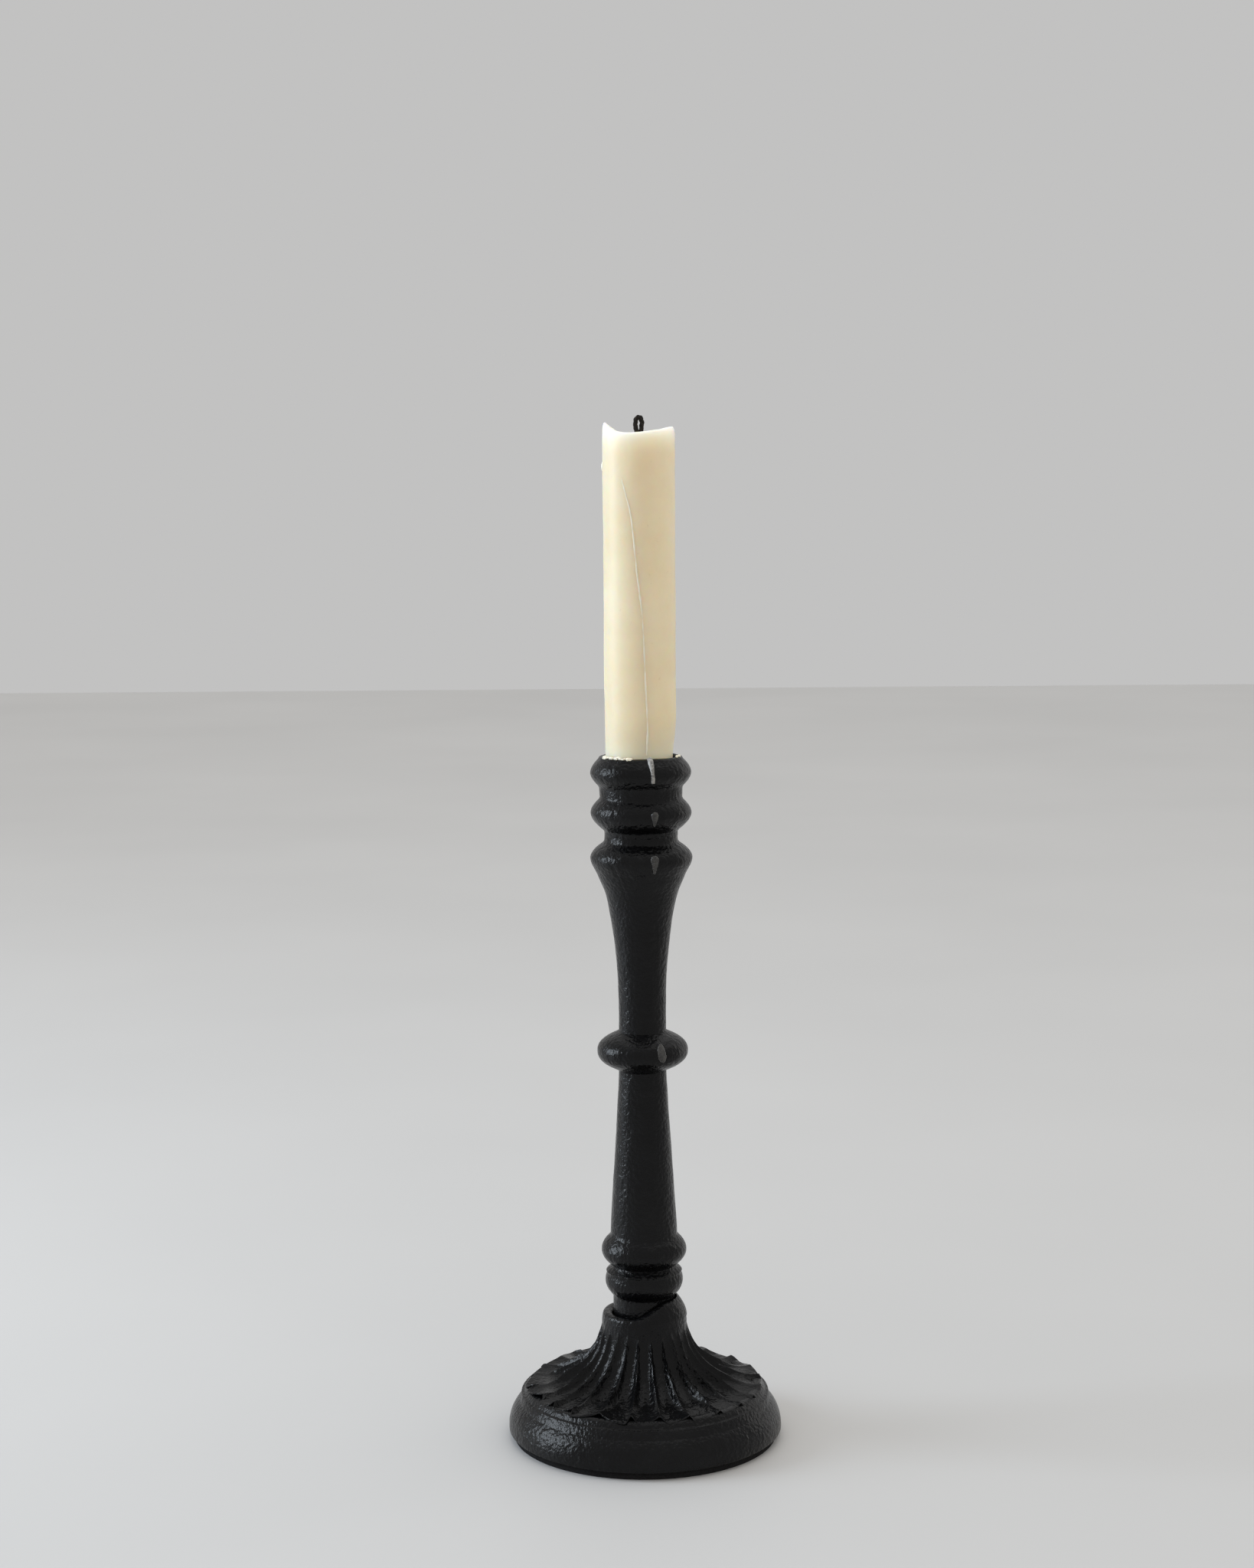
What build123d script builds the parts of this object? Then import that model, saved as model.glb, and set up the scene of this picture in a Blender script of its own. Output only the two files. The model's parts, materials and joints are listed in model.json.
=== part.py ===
from build123d import *
import os
from math import cos, radians, sin

# Cast-iron candlestick holding one dinner candle. Millimetres, +Z up, front towards -Y.
# The origin is the centre of the felt pad's underside, on the surface it stands on.

# ---- Driving dimensions ----
PAD_RADIUS = 41.2
PAD_THICKNESS = 2.5

FOOT_RADIUS = 43.0
SKIRT_RADIUS = 36.5          # reach of the leaf skirt
SKIRT_HEIGHT = 17.5          # height of the skirt's lobes
CREASE_RADIUS = 38.3         # where the plain rim begins
CREASE_HEIGHT = 14.2
BELL_RADIUS = 13.0           # the collar's mouth, outside
BELL_TOP = 39.8
FLARE_RADIUS = 20.0          # the skirt's sweep, one arc from the collar to the lobes
FLARE_CENTRE = (33.3, 37.2)  # radius and height of that arc's centre
SEAT_RADIUS = 9.8            # the recess that takes the stem's spigot
SEAT_HEIGHT = 33.0           # top of the web under the stem
WEB_THICKNESS = 5.0
FLUTE_COUNT = 24
FLUTE_DEPTH = 0.5
FLUTE_TUBE = 2.0             # radius of the round tool that makes a flute
FLUTE_START = 8.0            # degrees down the skirt's arc where a flute begins
FLUTE_SWEEP = 92.0
NOTCH_RADIUS = 1.6           # the gap between two lobes

RIM_TOP = 215.0
RIM_RADIUS = 12.0
SOCKET_RADIUS = 11.3
SOCKET_FLOOR = 190.0
RING_RADIUS = 15.6           # the socket's two upper rings
RING_1 = 210.1
RING_2 = 197.6
RING_3 = 183.5
RING_3_RADIUS = 15.8
WAIST_RADIUS = 7.4
KNOP_RADIUS = 14.1
KNOP_HEIGHT = 123.1
SHAFT_FOOT_RADIUS = 10.35    # the shaft's thick lower end
COLLAR_RING = 59.7
COLLAR_RING_RADIUS = 13.25
LOWER_RING = 49.9
LOWER_RING_RADIUS = 12.2
SPIGOT_RADIUS = 9.5

BOLT_RADIUS = 3.0            # M6
BOLT_REACH = 14.0            # thread inside the stem
BOLT_HEAD_WIDTH = 10.0       # across flats
BOLT_HEAD_HEIGHT = 4.0
CLEARANCE_HOLE = 3.3
WASHER_RADIUS = 6.0
WASHER_THICKNESS = 1.6
SPRING_WASHER_RADIUS = 5.4
SPRING_WASHER_THICKNESS = 1.5
WEB_UNDERSIDE = SEAT_HEIGHT - WEB_THICKNESS
PLAIN_WASHER_BOTTOM = WEB_UNDERSIDE - WASHER_THICKNESS
HEAD_TOP = PLAIN_WASHER_BOTTOM - SPRING_WASHER_THICKNESS

CANDLE_RADIUS = 11.0
BUTT_RADIUS = 10.3           # the candle's softened lower end
BUTT_SHIFT = -0.5            # and how far that end leans to the left
TAPER_TOP = 228.0
TAPER_BOTTOM = 213.0
CANDLE_TOP = 316.4
DIP_HEIGHT = 313.2           # lowest point of the melted edge
POOL_FLOOR = 311.4
SADDLE_RADIUS = 20.0         # the dip from side to side across the candle's top
POOL_RADIUS = 16.0           # the hollow melted round the wick
WICK_RADIUS = 0.6
WICK_HOLE = 0.65
WICK_START = 196.0
WICK_OFFSET = 0.4            # the wick stands this far to the right of the axis


def front(radius, azimuth, height):
    """A point at this radius and height, azimuth degrees to the right of the front."""
    angle = radians(azimuth)
    return Vector(radius * sin(angle), -radius * cos(angle), height)


def turned(outline):
    """The solid that a closed outline, drawn as radius and height, sweeps about the vertical axis."""
    return revolve(Plane.XZ * make_face(outline), Axis.Z)


def rounded_run(points, radii, thickness):
    """A round bar along straight runs and tangent arcs, with a ball at each end."""
    path = FilletPolyline(*points, radius=radii)
    section = Plane(origin=path @ 0, z_dir=path % 0) * Circle(thickness)
    balls = [Pos(*end) * Sphere(thickness) for end in (points[0], points[-1])]
    return sweep(section, path=path) + balls


def pear(upper, upper_radius, lower, lower_radius):
    """A drop of wax: a small ball above, a larger one below and a cone between them."""
    upper, lower = Vector(upper), Vector(lower)
    rise = upper - lower
    neck = Solid.make_cone(lower_radius, upper_radius, rise.length, Plane(origin=lower, z_dir=rise))
    return Pos(*lower) * Sphere(lower_radius) + Pos(*upper) * Sphere(upper_radius) + neck


# ---- Foot ----
def foot_outline():
    """Half section of the foot: skirt arc, wall, rounded rim, then back up through the hollow."""
    centre_radius, centre_height = FLARE_CENTRE
    drop = (FLARE_RADIUS**2 - (centre_radius - SKIRT_RADIUS) ** 2) ** 0.5
    diagonal = FLARE_RADIUS * cos(radians(45))
    neck = (centre_radius - FLARE_RADIUS, centre_height)
    middle = (centre_radius - diagonal, centre_height - diagonal)
    skirt_edge = (SKIRT_RADIUS, centre_height - drop)
    lip_inside, lip_top = (BELL_RADIUS - 1.8, BELL_TOP), (BELL_RADIUS - 0.6, BELL_TOP)
    lip_middle, lip_outside = (BELL_RADIUS - 0.1, BELL_TOP - 0.2), (BELL_RADIUS + 0.1, BELL_TOP - 0.7)
    lobe_underside = (SKIRT_RADIUS + 0.6, SKIRT_HEIGHT - 1.3)
    crease, rim_inside = (CREASE_RADIUS, CREASE_HEIGHT), (FOOT_RADIUS - 4.5, PAD_THICKNESS)
    return [
        Line((CLEARANCE_HOLE, SEAT_HEIGHT), (SEAT_RADIUS, SEAT_HEIGHT)),
        Line((SEAT_RADIUS, SEAT_HEIGHT), (SEAT_RADIUS, BELL_TOP - 3)),
        Line((SEAT_RADIUS, BELL_TOP - 3), lip_inside),
        Line(lip_inside, lip_top),
        ThreePointArc(lip_top, lip_middle, lip_outside),
        Line(lip_outside, neck),
        ThreePointArc(neck, middle, skirt_edge),
        Line(skirt_edge, lobe_underside),
        Line(lobe_underside, crease),
        ThreePointArc(crease, (41.6, 9.2), (FOOT_RADIUS, PAD_THICKNESS)),
        Line((FOOT_RADIUS, PAD_THICKNESS), rim_inside),
        ThreePointArc(rim_inside, (37.2, 8.0), (33.0, 11.6)),
        Line((33.0, 11.6), (24.0, 14.4)),
        ThreePointArc((24.0, 14.4), (14.6, 19.4), (9.4, WEB_UNDERSIDE)),
        Line((9.4, WEB_UNDERSIDE), (CLEARANCE_HOLE, WEB_UNDERSIDE)),
        Line((CLEARANCE_HOLE, WEB_UNDERSIDE), (CLEARANCE_HOLE, SEAT_HEIGHT)),
    ]


def flute_tool():
    """A bent round bar that follows the skirt's arc and bites into it, on the +X side."""
    centre = Vector(FLARE_CENTRE[0], 0, FLARE_CENTRE[1])
    reach = FLARE_RADIUS - FLUTE_TUBE + FLUTE_DEPTH
    across, down = cos(radians(FLUTE_START)), sin(radians(FLUTE_START))
    start = centre - Vector(across, 0, down) * reach
    section = Plane(origin=start, z_dir=(-down, 0, across)) * Circle(FLUTE_TUBE)
    return revolve(section, Axis(centre, (0, 1, 0)), revolution_arc=-FLUTE_SWEEP)


def make_foot():
    foot = turned(foot_outline())
    pitch = 360 / FLUTE_COUNT
    flute = flute_tool()
    notch = Pos(SKIRT_RADIUS + 1.5, 0, SKIRT_HEIGHT - 1.1) * Cylinder(
        NOTCH_RADIUS, 4, align=(Align.CENTER, Align.CENTER, Align.MIN)
    )
    tools = []
    for index in range(FLUTE_COUNT):
        tools.append(Rot(0, 0, index * pitch) * flute)
        tools.append(Rot(0, 0, (index + 0.5) * pitch) * notch)
    return foot - tools


def make_felt_pad():
    return Cylinder(PAD_RADIUS, PAD_THICKNESS, align=(Align.CENTER, Align.CENTER, Align.MIN))


# ---- Stem ----
def stem_outline():
    """Half section of the stem, from the socket's rim down to the spigot and back up inside."""
    rim = (RIM_RADIUS, RIM_TOP)
    shoulders = [(13.2, 205.4), (13.2, 201.3), (12.8, 193.4), (12.6, 187.7), (14.6, 180.2)]
    waist_top, waist_bottom = (WAIST_RADIUS, 136.0), (WAIST_RADIUS, 130.0)
    knop_top, knop_bottom = (8.4, 128.6), (8.4, 117.6)
    shaft_top, shaft_bottom = (WAIST_RADIUS, 116.2), (SHAFT_FOOT_RADIUS, 66.5)
    collar_top = (SHAFT_FOOT_RADIUS + 0.3, 64.9)
    groove = (9.75, 55.0)
    neck = (9.8, 45.4)
    hole_top = SEAT_HEIGHT + BOLT_REACH + 2
    return [
        ThreePointArc(rim, (RING_RADIUS, RING_1), shoulders[0]),
        ThreePointArc(shoulders[0], (12.8, 203.3), shoulders[1]),
        ThreePointArc(shoulders[1], (RING_RADIUS, RING_2), shoulders[2]),
        ThreePointArc(shoulders[2], (11.4, 190.3), shoulders[3]),
        ThreePointArc(shoulders[3], (RING_3_RADIUS, RING_3), shoulders[4]),
        Spline(
            [shoulders[4], (10.95, 171.5), (8.98, 160.7), (7.67, 147.8), waist_top],
            tangents=[(-0.6, -1), (0, -1)],
        ),
        Line(waist_top, waist_bottom),
        Line(waist_bottom, knop_top),
        ThreePointArc(knop_top, (KNOP_RADIUS, KNOP_HEIGHT), knop_bottom),
        Line(knop_bottom, shaft_top),
        Line(shaft_top, shaft_bottom),
        Line(shaft_bottom, collar_top),
        ThreePointArc(collar_top, (COLLAR_RING_RADIUS, COLLAR_RING), groove),
        ThreePointArc(groove, (LOWER_RING_RADIUS, LOWER_RING), neck),
        Line(neck, (SPIGOT_RADIUS, 41.0)),
        Line((SPIGOT_RADIUS, 41.0), (SPIGOT_RADIUS, SEAT_HEIGHT)),
        Line((SPIGOT_RADIUS, SEAT_HEIGHT), (BOLT_RADIUS, SEAT_HEIGHT)),
        Line((BOLT_RADIUS, SEAT_HEIGHT), (BOLT_RADIUS, hole_top)),
        Line((BOLT_RADIUS, hole_top), (0, hole_top + 1.7)),
        Line((0, hole_top + 1.7), (0, SOCKET_FLOOR)),
        Line((0, SOCKET_FLOOR), (SOCKET_RADIUS, SOCKET_FLOOR)),
        Line((SOCKET_RADIUS, SOCKET_FLOOR), (SOCKET_RADIUS, RIM_TOP)),
        Line((SOCKET_RADIUS, RIM_TOP), rim),
    ]


def make_stem():
    return turned(stem_outline())


# ---- Fixing under the foot ----
def ring(outer_radius, inner_radius, thickness, bottom):
    plane = Plane.XY.offset(bottom)
    return extrude(plane * Circle(outer_radius) - plane * Circle(inner_radius), thickness)


def make_fixing_bolt():
    length = SEAT_HEIGHT + BOLT_REACH - HEAD_TOP
    shank = extrude(Plane.XY.offset(HEAD_TOP) * Circle(BOLT_RADIUS), length)
    tip = shank.faces().sort_by(Axis.Z)[-1]
    shank = chamfer(tip.edges(), 0.6)
    hexagon = RegularPolygon(BOLT_HEAD_WIDTH / 2, 6, major_radius=False)
    head = extrude(Plane.XY.offset(HEAD_TOP - BOLT_HEAD_HEIGHT) * hexagon, BOLT_HEAD_HEIGHT)
    return head + shank


def make_plain_washer():
    return ring(WASHER_RADIUS, CLEARANCE_HOLE - 0.1, WASHER_THICKNESS, PLAIN_WASHER_BOTTOM)


def make_spring_washer():
    washer = ring(SPRING_WASHER_RADIUS, BOLT_RADIUS + 0.1, SPRING_WASHER_THICKNESS, HEAD_TOP)
    middle = HEAD_TOP + SPRING_WASHER_THICKNESS / 2
    split = Pos(SPRING_WASHER_RADIUS, 0, middle) * Rot(35, 0, 0) * Box(2 * BOLT_RADIUS, 0.5, 4)
    return washer - split


# ---- Candle ----
def candle_centre(height):
    """How far the candle's middle stands to the right, and its radius, at this height."""
    share = (TAPER_TOP - height) / (TAPER_TOP - TAPER_BOTTOM)
    share = min(max(share, 0), 1)
    return BUTT_SHIFT * share, CANDLE_RADIUS + (BUTT_RADIUS - CANDLE_RADIUS) * share


def on_candle(azimuth, height, sink):
    """A point this far under the candle's skin."""
    shift, radius = candle_centre(height)
    return front(radius - sink, azimuth, height) + Vector(shift, 0, 0)


def make_candle_body():
    butt_circle = Plane((BUTT_SHIFT, 0, SOCKET_FLOOR)) * Circle(BUTT_RADIUS)
    butt = extrude(butt_circle, TAPER_BOTTOM - SOCKET_FLOOR)
    butt = chamfer(butt.faces().sort_by(Axis.Z)[0].edges(), 0.8)
    taper = loft(
        [
            Plane((BUTT_SHIFT, 0, TAPER_BOTTOM)) * Circle(BUTT_RADIUS),
            Plane((0, 0, TAPER_TOP)) * Circle(CANDLE_RADIUS),
        ],
        ruled=True,
    )
    shaft = extrude(Plane((0, 0, TAPER_TOP)) * Circle(CANDLE_RADIUS), CANDLE_TOP - TAPER_TOP)
    saddle = Pos(0.8, 0, DIP_HEIGHT + SADDLE_RADIUS) * Rot(90, 0, 0) * Cylinder(SADDLE_RADIUS, 30)
    pool = Pos(0, 0, POOL_FLOOR + POOL_RADIUS) * Sphere(POOL_RADIUS)
    hole_circle = Plane((WICK_OFFSET, 0, SOCKET_FLOOR)) * Circle(WICK_HOLE)
    hole = extrude(hole_circle, CANDLE_TOP - SOCKET_FLOOR)
    return butt + taper + shaft - saddle - pool - hole


def make_wick():
    points = [
        (WICK_OFFSET, 0, WICK_START),
        (WICK_OFFSET, 0, 311.9),
        (1.1, 0, 315.6),
        (0.9, 0, 318.3),
        (-0.9, 0, 318.4),
        (-1.3, 0, 313.9),
    ]
    return rounded_run(points, [2.5, 2.5, 0.9, 0.9], WICK_RADIUS)


def make_wax_run(candle_body):
    route = [(-27, 298.6), (-13, 288.8), (-5, 272.6), (4, 258.6), (8, 239.0), (12, 222.5), (12.5, 217.0)]
    points = [on_candle(azimuth, height, 0.3) for azimuth, height in route]
    return rounded_run(points, [8.0] * (len(points) - 2), 0.85) - candle_body


def make_side_bead(candle_body):
    upper, lower = front(CANDLE_RADIUS - 0.3, -88, 305.0), front(CANDLE_RADIUS - 0.2, -88, 302.6)
    return pear(upper, 0.5, lower, 0.9) - candle_body


# ---- Wax on the iron ----
def rim_crust(first_azimuth, last_azimuth, thickness):
    """A low bead of wax along the socket's rim, clear of the candle."""
    middle = (first_azimuth + last_azimuth) / 2
    height = RIM_TOP + 0.1
    points = [front(12.3, azimuth, height) for azimuth in (first_azimuth, middle, last_azimuth)]
    path = ThreePointArc(*points)
    section = Plane(origin=path @ 0, z_dir=path % 0) * Circle(thickness)
    balls = [Pos(*end) * Sphere(thickness) for end in (points[0], points[-1])]
    return sweep(section, path=path) + balls


def make_rim_drip(stem):
    """A drip that starts on the rim, passes over the top ring and ends in a rounded tail."""
    azimuth = 13.0
    points = [front(12.6, azimuth, 214.6), front(14.5, azimuth, 212.7), front(15.2, azimuth, 208.6)]
    return rounded_run(points, [3.0], 0.9) - stem


def surface_drop(azimuth, top, bottom, stem):
    """A hanging drop on the iron. top and bottom are (radius, height, ball radius)."""
    upper, lower = front(top[0], azimuth, top[1]), front(bottom[0], azimuth, bottom[1])
    return pear(upper, top[2], lower, bottom[2]) - stem


def main():
    candle_body = make_candle_body()
    stem = make_stem()
    nodes = {
        "foot": make_foot(),
        "stem": stem,
        "felt_pad": make_felt_pad(),
        "fixing_bolt": make_fixing_bolt(),
        "plain_washer": make_plain_washer(),
        "spring_washer": make_spring_washer(),
        "candle_body": candle_body,
        "wick": make_wick(),
        "wax_run": make_wax_run(candle_body),
        "side_bead": make_side_bead(candle_body),
        "rim_wax_left": rim_crust(-70, -14, 0.75) - stem,
        "rim_wax_right": rim_crust(62, 84, 0.55) - stem,
        "rim_drip": make_rim_drip(stem),
        "ring_drop_middle": surface_drop(15.5, (15.2, 199.0, 0.9), (14.3, 195.2, 1.5), stem),
        "ring_drop_lower": surface_drop(15.0, (15.0, 185.4, 0.9), (14.6, 181.6, 1.5), stem),
        "knop_drop": surface_drop(25.0, (12.6, 126.6, 1.0), (13.1, 122.6, 1.6), stem),
    }
    os.makedirs("parts", exist_ok=True)
    for name, shape in nodes.items():
        export_step(shape, f"parts/{name}.step")


main()
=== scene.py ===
import bpy
import json
import random
from math import atan2, cos, degrees, pi, radians, sin, sqrt
from mathutils import Matrix, Vector


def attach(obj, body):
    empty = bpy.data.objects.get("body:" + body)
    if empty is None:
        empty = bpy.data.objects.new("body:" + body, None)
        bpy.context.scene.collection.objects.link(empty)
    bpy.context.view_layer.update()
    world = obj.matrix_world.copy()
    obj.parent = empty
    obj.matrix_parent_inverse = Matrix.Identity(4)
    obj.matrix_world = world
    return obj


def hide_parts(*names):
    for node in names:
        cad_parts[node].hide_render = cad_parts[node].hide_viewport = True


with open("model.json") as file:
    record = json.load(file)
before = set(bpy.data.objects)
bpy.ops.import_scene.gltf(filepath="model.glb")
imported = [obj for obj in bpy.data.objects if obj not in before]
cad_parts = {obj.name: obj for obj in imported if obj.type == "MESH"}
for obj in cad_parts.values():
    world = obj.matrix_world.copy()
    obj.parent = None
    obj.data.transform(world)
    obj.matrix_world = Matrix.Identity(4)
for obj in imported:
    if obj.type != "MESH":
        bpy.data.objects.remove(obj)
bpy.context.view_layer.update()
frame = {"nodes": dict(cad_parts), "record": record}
mm = 0.001  # lengths are in millimetres, except the lamps' places and sizes, and angles in degrees
random.seed(7)


def clearSelection():
    if bpy.context.mode != "OBJECT":
        bpy.ops.object.mode_set(mode="OBJECT")
    bpy.ops.object.select_all(action="DESELECT")


def nameActive(name):
    piece = bpy.context.active_object
    piece.name = name
    piece.data.name = name
    return piece


def activate(piece):
    clearSelection()
    piece.select_set(True)
    bpy.context.view_layer.objects.active = piece


def joinPieces(name, pieces):
    clearSelection()
    for piece in pieces:
        piece.select_set(True)
    bpy.context.view_layer.objects.active = pieces[0]
    bpy.ops.object.join()
    return nameActive(name)


def applyPlace(piece):
    activate(piece)
    bpy.ops.object.transform_apply(location=True, rotation=True, scale=True)


def applyModifier(piece, kind, **settings):
    activate(piece)
    modifier = piece.modifiers.new(kind.title(), kind)
    for key, value in settings.items():
        setattr(modifier, key, value)
    bpy.ops.object.modifier_apply(modifier=modifier.name)


def smoothFaces(piece, angle=50):
    activate(piece)
    bpy.ops.object.shade_smooth_by_angle(angle=radians(angle))


def softStep(low, high, value):
    share = min(max((value - low) / (high - low), 0), 1)
    return share * share * (3 - 2 * share)


def filletMax(first, second, fillet):
    # the larger of two radii, with a rounded inside corner where they cross
    overlap = max(fillet - abs(first - second), 0) / fillet
    return max(first, second) + overlap * overlap * fillet / 4


def through(points, height):
    # a smooth curve through (height, radius) points, highest point first
    last = len(points) - 1
    for index in range(last):
        upper, lower = points[index], points[index + 1]
        if height >= lower[0] or index == last - 1:
            break
    before = points[max(index - 1, 0)]
    after = points[min(index + 2, last)]
    span = lower[0] - upper[0]
    share = (height - upper[0]) / span
    slopeIn = (lower[1] - before[1]) / (lower[0] - before[0]) * span
    slopeOut = (after[1] - upper[1]) / (after[0] - upper[0]) * span
    square, cube = share**2, share**3
    return ((2 * cube - 3 * square + 1) * upper[1] + (cube - 2 * square + share) * slopeIn
            + (3 * square - 2 * cube) * lower[1] + (cube - square) * slopeOut)


def arcPoints(centre, radius, first, last, count):
    # points on an arc in the section plane, angles in degrees
    points = []
    for index in range(count + 1):
        angle = radians(first + (last - first) * index / count)
        points.append((centre[0] + radius * cos(angle), centre[1] + radius * sin(angle)))
    return points


def spinSection(name, section, steps):
    # a section drawn as (radius, height) in millimetres, extruded point by point and spun about Z
    clearSelection()
    firstPoint = (section[0][0] * mm, 0, section[0][1] * mm)
    bpy.ops.mesh.primitive_plane_add(size=mm, location=firstPoint)
    piece = nameActive(name)
    bpy.ops.object.transform_apply(location=True, rotation=True, scale=True)
    bpy.ops.object.mode_set(mode="EDIT")
    bpy.ops.mesh.select_all(action="SELECT")
    bpy.ops.mesh.merge(type="CENTER")
    for here, there in zip(section, section[1:]):
        move = ((there[0] - here[0]) * mm, 0, (there[1] - here[1]) * mm)
        bpy.ops.mesh.extrude_region_move(TRANSFORM_OT_translate={"value": move})
    bpy.ops.mesh.select_all(action="SELECT")
    bpy.ops.mesh.spin(steps=steps, angle=2 * pi, center=(0, 0, 0), axis=(0, 0, 1))
    bpy.ops.mesh.select_all(action="SELECT")
    bpy.ops.mesh.remove_doubles(threshold=0.00001)
    bpy.ops.mesh.normals_make_consistent(inside=False)
    bpy.ops.object.mode_set(mode="OBJECT")
    return piece


def azimuthOf(x, y):
    # degrees to the right of the front, which faces -Y
    return degrees(atan2(x, -y))


def front(radius, azimuth, height):
    angle = radians(azimuth)
    return Vector((radius * sin(angle), -radius * cos(angle), height)) * mm


def unevenCasting(piece, depth, size):
    # a soft unevenness in the mesh itself, this deep, with bumps of this size
    texture = bpy.data.textures.new(piece.name + "Uneven", "CLOUDS")
    texture.noise_scale = size * mm
    applyModifier(
        piece, "DISPLACE", texture=texture, texture_coords="LOCAL", strength=depth * mm, mid_level=0.5)


def tubeThrough(name, points, sizes, thickness, resolution=10):
    # a round bar along a smooth path, thicker or thinner at each point
    clearSelection()
    bpy.ops.curve.primitive_nurbs_path_add(radius=0.01)
    curve = bpy.context.active_object
    data = curve.data
    data.splines.clear()
    spline = data.splines.new("NURBS")
    spline.points.add(len(points) - 1)
    for spot, place, size in zip(spline.points, points, sizes):
        spot.co = (*place, 1)
        spot.radius = size
    spline.order_u = 3
    spline.use_endpoint_u = True
    spline.resolution_u = resolution
    data.bevel_depth = thickness * mm
    data.bevel_resolution = 5
    data.use_fill_caps = True
    activate(curve)
    bpy.ops.object.convert(target="MESH")
    applyPlace(curve)
    return nameActive(name)


class Value:
    # a number in a node tree, used in Python expressions
    def __init__(self, finish, socket):
        self.finish, self.socket = finish, socket

    def maths(self, operation, first, second):
        return self.finish.node("ShaderNodeMath", {"operation": operation}, {0: first, 1: second})

    def __add__(self, other):
        return self.maths("ADD", self, other)

    def __radd__(self, other):
        return self.maths("ADD", other, self)

    def __mul__(self, other):
        return self.maths("MULTIPLY", self, other)

    def __rmul__(self, other):
        return self.maths("MULTIPLY", other, self)


class Finish:
    # a material, with one method that adds any node
    def __init__(self, name, **constants):
        self.material = bpy.data.materials.new(name)
        self.material.use_nodes = True
        self.tree = self.material.node_tree
        self.shader = self.tree.nodes["Principled BSDF"]
        for socket, value in constants.items():
            self.shader.inputs[socket.replace("_", " ")].default_value = value
        self.place = self.node("ShaderNodeTexCoord", {}, {}, "Object")

    def link(self, source, target):
        if isinstance(source, Value):
            self.tree.links.new(source.socket, target)
        else:
            target.default_value = source

    def node(self, kind, settings, values, output=0):
        node = self.tree.nodes.new(kind)
        for key, value in settings.items():
            if key == "stops":
                for index, (position, colour) in enumerate(value):
                    stops = node.color_ramp.elements
                    stop = stops[index] if index < 2 else stops.new(position)
                    stop.position, stop.color = position, (*colour, 1)
            else:
                setattr(node, key, value)
        for key, value in values.items():
            self.link(value, node.inputs[key])
        return Value(self, node.outputs[output])

    def noise(self, scale, detail=3.0, roughness=0.5):
        return self.node("ShaderNodeTexNoise", {}, {
            "Vector": self.place, "Scale": scale, "Detail": detail, "Roughness": roughness})

    def cells(self, scale):
        return self.node("ShaderNodeTexVoronoi", {}, {"Vector": self.place, "Scale": scale})

    def ramp(self, amount, stops):
        return self.node("ShaderNodeValToRGB", {"stops": stops}, {"Fac": amount})

    def blend(self, amount, first, second):
        # inputs 6 and 7 and output 2 are the Mix node's colours
        return self.node("ShaderNodeMix", {"data_type": "RGBA"}, {0: amount, 6: first, 7: second}, 2)

    def feed(self, socket, value):
        self.link(value, self.shader.inputs[socket])

    def bump(self, height, depth, strength=1.0):
        self.feed("Normal", self.node("ShaderNodeBump", {}, {
            "Height": height, "Distance": depth * mm, "Strength": strength}, "Normal"))


def paintedIron():
    # satin black paint over sand-cast grain
    finish = Finish("paintedIron", Specular_IOR_Level=0.2)
    grain = finish.noise(880, 1.5, 0.5)
    coarse = finish.noise(430, 2.0, 0.5)
    patches = finish.noise(70, 4.0, 0.6)
    pits = finish.ramp(finish.cells(420), [(0.0, (0, 0, 0)), (0.16, (1, 1, 1))])
    tone = finish.ramp(patches, [(0.3, (0.0012, 0.0012, 0.0014)), (0.7, (0.0032, 0.0033, 0.0038))])
    dusty = finish.ramp(coarse, [(0.5, (0, 0, 0)), (0.8, (0.5, 0.5, 0.5))])
    finish.feed("Base Color", finish.blend(dusty * 0.06, tone, (0.05, 0.053, 0.06, 1)))
    finish.feed("Roughness", 0.18 + patches * 0.08 + grain * 0.08)
    finish.bump(grain * 0.9 + coarse * 0.7 + pits * 0.05, 0.34, 1.0)
    return finish.material


def feltFinish():
    # black felt, dull and fuzzy
    finish = Finish("blackFelt", Roughness=0.95, Specular_IOR_Level=0.1)
    fuzz = finish.noise(3000, 4.0, 0.7)
    finish.feed("Base Color", finish.ramp(fuzz, [
        (0.3, (0.006, 0.006, 0.006)), (0.8, (0.03, 0.03, 0.032))]))
    finish.bump(fuzz, 0.3)
    return finish.material


def zincFinish():
    # bright zinc plate on the hidden fixings
    finish = Finish("zincPlate", Metallic=1.0)
    cloud = finish.noise(300, 4.0)
    finish.feed("Base Color", finish.ramp(cloud, [(0.3, (0.42, 0.42, 0.44)), (0.7, (0.62, 0.61, 0.58))]))
    finish.feed("Roughness", 0.28 + cloud * 0.2)
    finish.bump(cloud, 0.05)
    return finish.material


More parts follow.
